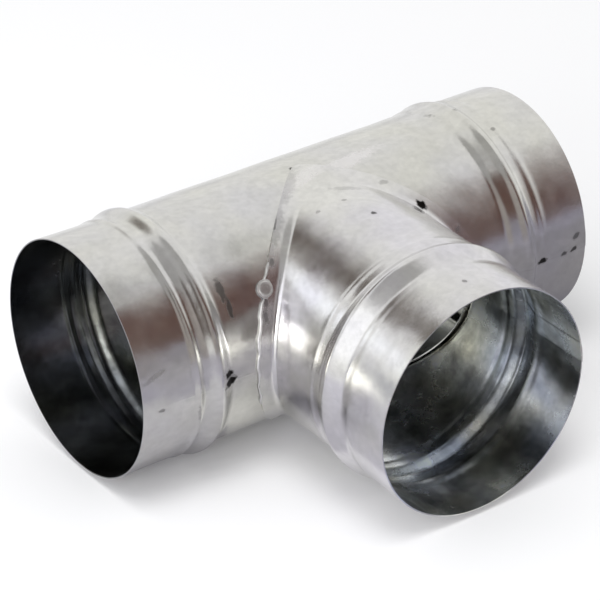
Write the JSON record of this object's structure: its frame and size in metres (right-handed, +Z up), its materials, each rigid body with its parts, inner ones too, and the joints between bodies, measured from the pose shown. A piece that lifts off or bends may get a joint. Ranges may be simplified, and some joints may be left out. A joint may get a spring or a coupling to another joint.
{
  "type": "duct tee",
  "caption": "Equal tee for round ventilation duct: a beaded through tube of galvanised sheet with a beaded branch collar, spot-welded on by its saddle flange.",
  "frame": {"origin": "where the axis of the through tube crosses the axis of the branch", "axes": "+X along the through tube, -Y along the branch and out of its mouth, +Z up with the three spigots lying flat"},
  "size_m": [0.22, 0.1719, 0.1038],
  "materials": {
    "galvanised_sheet": "hot-dip galvanised, satin, with faint spangle, handling marks and a little dirt"
  },
  "bodies": {
    "root": {"run_tube": "galvanised_sheet", "branch_collar": "galvanised_sheet"}
  },
  "joints": []
}
